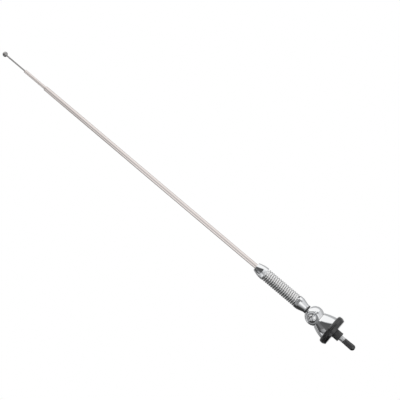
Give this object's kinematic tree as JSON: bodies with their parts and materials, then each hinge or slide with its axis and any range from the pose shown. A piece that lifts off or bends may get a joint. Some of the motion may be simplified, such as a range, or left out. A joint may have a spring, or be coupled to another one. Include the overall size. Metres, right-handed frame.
{
  "type": "telescopic antenna",
  "caption": "Telescopic car aerial with nested chrome mast sections, a coil spring between ferrules, a screw-clamped swivel ball, a flared bell foot, gasket and capped stud.",
  "frame": {"origin": "centre of the gasket's underside, where the collar enters the panel", "axes": "+Z along the mast, away from the panel; +Y along the swivel screw, from its head towards the ear; +X across, the way the mast tilts"},
  "size_m": [0.04, 0.04, 0.575],
  "materials": {
    "cast_chrome": "polished chrome plate on a zinc casting",
    "spring_chrome": "chrome-plated spring wire",
    "mast_chrome": "bright chrome-plated brass tube, slightly warm",
    "rod_steel": "drawn stainless rod and its ball",
    "stud_steel": "zinc-plated steel thread",
    "brass": "turned brass",
    "braid_copper": "tinned copper braid",
    "gasket_rubber": "moulded black rubber, slight sheen",
    "collar_plastic": "moulded black insulating plastic",
    "cap_plastic": "soft black vinyl",
    "washer_fibre": "dark friction fibre"
  },
  "bodies": {
    "base": {"mounting_stud": "stud_steel", "collar": "collar_plastic", "gasket": "gasket_rubber", "base_bell": "cast_chrome", "friction_washer": "washer_fibre", "lock_washer": "stud_steel", "swivel_screw": "stud_steel"},
    "cap": {"stud_cap": "cap_plastic"},
    "head": {"swivel_head": "cast_chrome", "neck_ring": "collar_plastic", "lower_ferrule": "cast_chrome", "coil_spring": "spring_chrome", "core_braid": "braid_copper"},
    "mast": {"upper_ferrule": "cast_chrome", "mast_plug": "brass", "lower_tube": "mast_chrome"},
    "middle": {"middle_foot_plug": "brass", "middle_contact": "brass", "middle_tube": "mast_chrome"},
    "tip": {"rod_foot_bush": "brass", "rod_contact": "brass", "top_rod": "rod_steel", "tip_ball": "rod_steel"}
  },
  "joints": [
    {"name": "swivel_tilt", "type": "hinge", "parent": "base", "child": "head", "pos_m": [0, 0, 0.0329], "axis": [0, 1, 0], "range_deg": [-90, 90]},
    {"name": "spring_flex", "type": "hinge", "parent": "head", "child": "mast", "pos_m": [0, 0, 0.08729], "axis": [1, 0, 0], "range_deg": [-30, 30], "stiffness_Nm_per_rad": 3, "deforming": ["coil_spring", "core_braid"]},
    {"name": "middle_slide", "type": "slide", "parent": "mast", "child": "middle", "axis": [0, 0, 1], "range_m": [-0.0316, 0.2996]},
    {"name": "rod_slide", "type": "slide", "parent": "middle", "child": "tip", "axis": [0, 0, 1], "range_m": [-0.02875, 0.28545]},
    {"name": "cap_pull", "type": "slide", "parent": "base", "child": "cap", "axis": [0, 0, -1], "range_m": [0, 0.016]}
  ]
}
